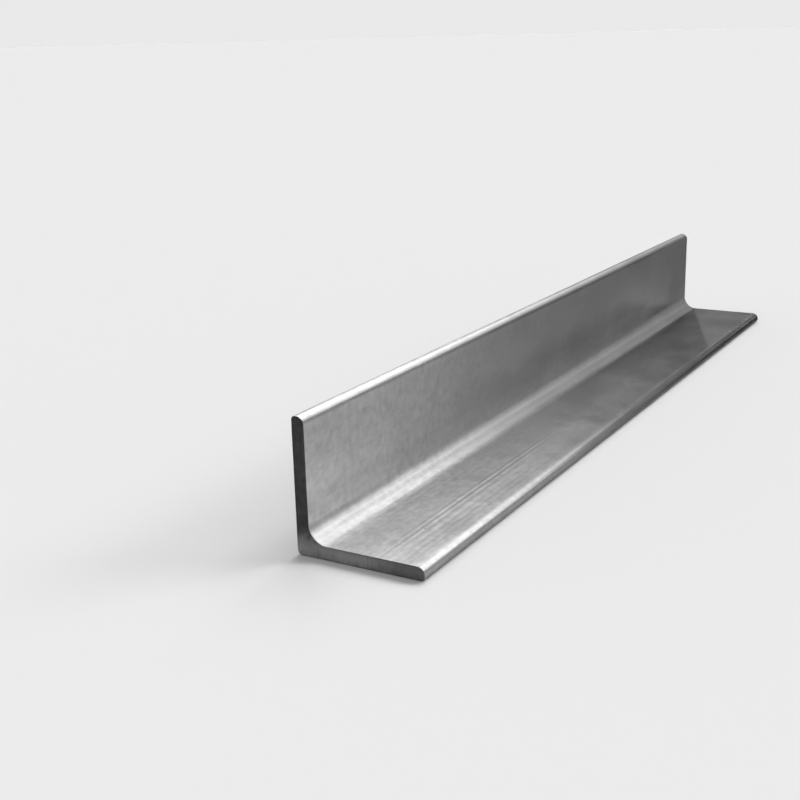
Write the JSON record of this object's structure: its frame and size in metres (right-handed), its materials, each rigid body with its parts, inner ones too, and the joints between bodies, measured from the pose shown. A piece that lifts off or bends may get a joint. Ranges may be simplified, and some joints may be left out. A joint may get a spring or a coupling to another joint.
{
  "type": "metal angle section",
  "caption": "Equal-leg rolled steel angle with a rounded root and toes, cut square, for framing, brackets and edge support.",
  "frame": {"origin": "under the middle of the bar, on the outer face of the leg that lies flat, at the centre of the whole piece's outline seen from above", "axes": "+X along the bar's length, -Y from the heel towards the toe of the flat leg, +Z from the heel towards the toe of the upright leg"},
  "size_m": [0.41, 0.05, 0.05],
  "materials": {
    "mill_finish_steel": "hot rolled and pickled to a plain grey, finely mottled, with lengthwise rolling scratches"
  },
  "bodies": {
    "root": {"angle_bar": "mill_finish_steel"}
  },
  "joints": []
}
